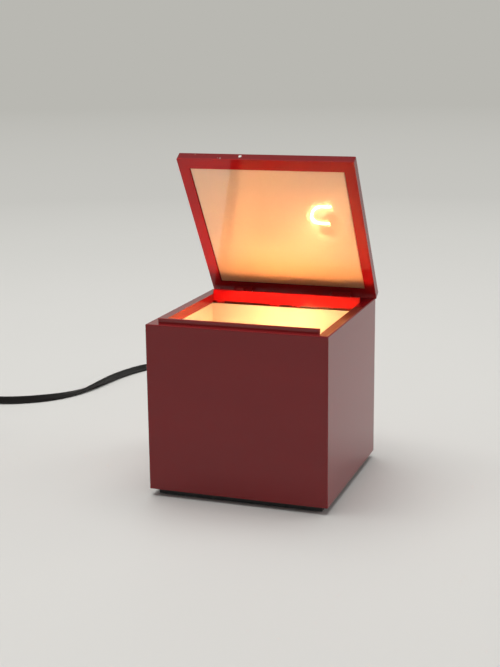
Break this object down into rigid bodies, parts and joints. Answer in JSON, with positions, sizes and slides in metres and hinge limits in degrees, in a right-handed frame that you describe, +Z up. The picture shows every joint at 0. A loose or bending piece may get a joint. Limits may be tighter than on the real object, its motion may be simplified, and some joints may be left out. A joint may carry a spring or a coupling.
{
  "type": "lidded cube table lamp",
  "caption": "Small cube table lamp with a hinged lid that opens to light it, a white reflector box, a clear screw-cap bulb and a mains cord with a plug.",
  "frame": {"origin": "middle of the base on the table", "axes": "+X to the right along the front, +Y to the back where the lid is hinged, +Z up"},
  "size_m": [0.3538, 0.2751, 0.1804],
  "materials": {
    "red_shell": "dark red, glossy moulded",
    "red_inner": "bright red, slightly see-through",
    "pale_panel": "pale cream, polished",
    "black_plastic": "fine matt",
    "white_liner": "cream white, satin",
    "white_ceramic": "white holder plastic",
    "foot_rubber": "soft black",
    "steel": "plain screws and pins",
    "brass": "plain brass",
    "washer_nylon": "natural nylon",
    "lamp_clear_glass": "clear",
    "lamp_black_glass": "black glass",
    "filament_wire": "fine coiled wire",
    "cord_black": "soft black sheath",
    "wire_brown": "brown insulated wire"
  },
  "bodies": {
    "housing": {"base_plate": "black_plastic", "base_screws": "steel", "block_screws": "brass", "body_shell": "red_shell", "bracket_screws": "steel", "clamp_screws": "steel", "coil_tie": "black_plastic", "compartment_cover": "black_plastic", "cord_clamp": "black_plastic", "filament_leads": "filament_wire", "flex_coil": "cord_black", "friction_washers": "washer_nylon", "front_strip": "red_inner", "hinge_pins": "steel", "holder_wires": "wire_brown", "inner_flex": "cord_black", "lamp_cap": "brass", "lamp_cap_insulator": "lamp_black_glass", "lamp_cap_tip": "steel", "lamp_filament": "filament_wire", "lamp_glass": "lamp_clear_glass", "lamp_stem": "lamp_clear_glass", "lampholder_body": "white_ceramic", "lampholder_bracket": "steel", "lampholder_contact": "brass", "lampholder_nut": "steel", "lampholder_ring": "white_ceramic", "lampholder_sleeve": "brass", "mains_flex": "cord_black", "plug_body": "cord_black", "plug_pins": "steel", "rear_wall": "red_inner", "reflector_liner": "white_liner", "rubber_foot": "foot_rubber", "strain_relief": "cord_black", "supply_wires": "wire_brown", "switch_body": "black_plastic", "switch_screws": "steel", "switch_terminals": "brass", "switch_wires": "wire_brown", "terminal_block": "white_ceramic"},
    "lid": {"lid_frame": "red_shell", "lid_panel": "pale_panel"},
    "plunger": {"switch_plunger": "black_plastic"}
  },
  "joints": [
    {"name": "lid_hinge", "type": "hinge", "parent": "housing", "child": "lid", "pos_m": [0, 0.0478, 0.0939], "axis": [-1, 0, 0], "range_deg": [-56.8, 38.2]},
    {"name": "plunger_slide", "type": "slide", "parent": "housing", "child": "plunger", "axis": [0, 0, 1], "range_m": [-0.0016, 0.0011]}
  ],
  "couplings": [
    {"joint": "plunger_slide", "follows": "lid_hinge", "m_per_rad": 0.0015131}
  ]
}
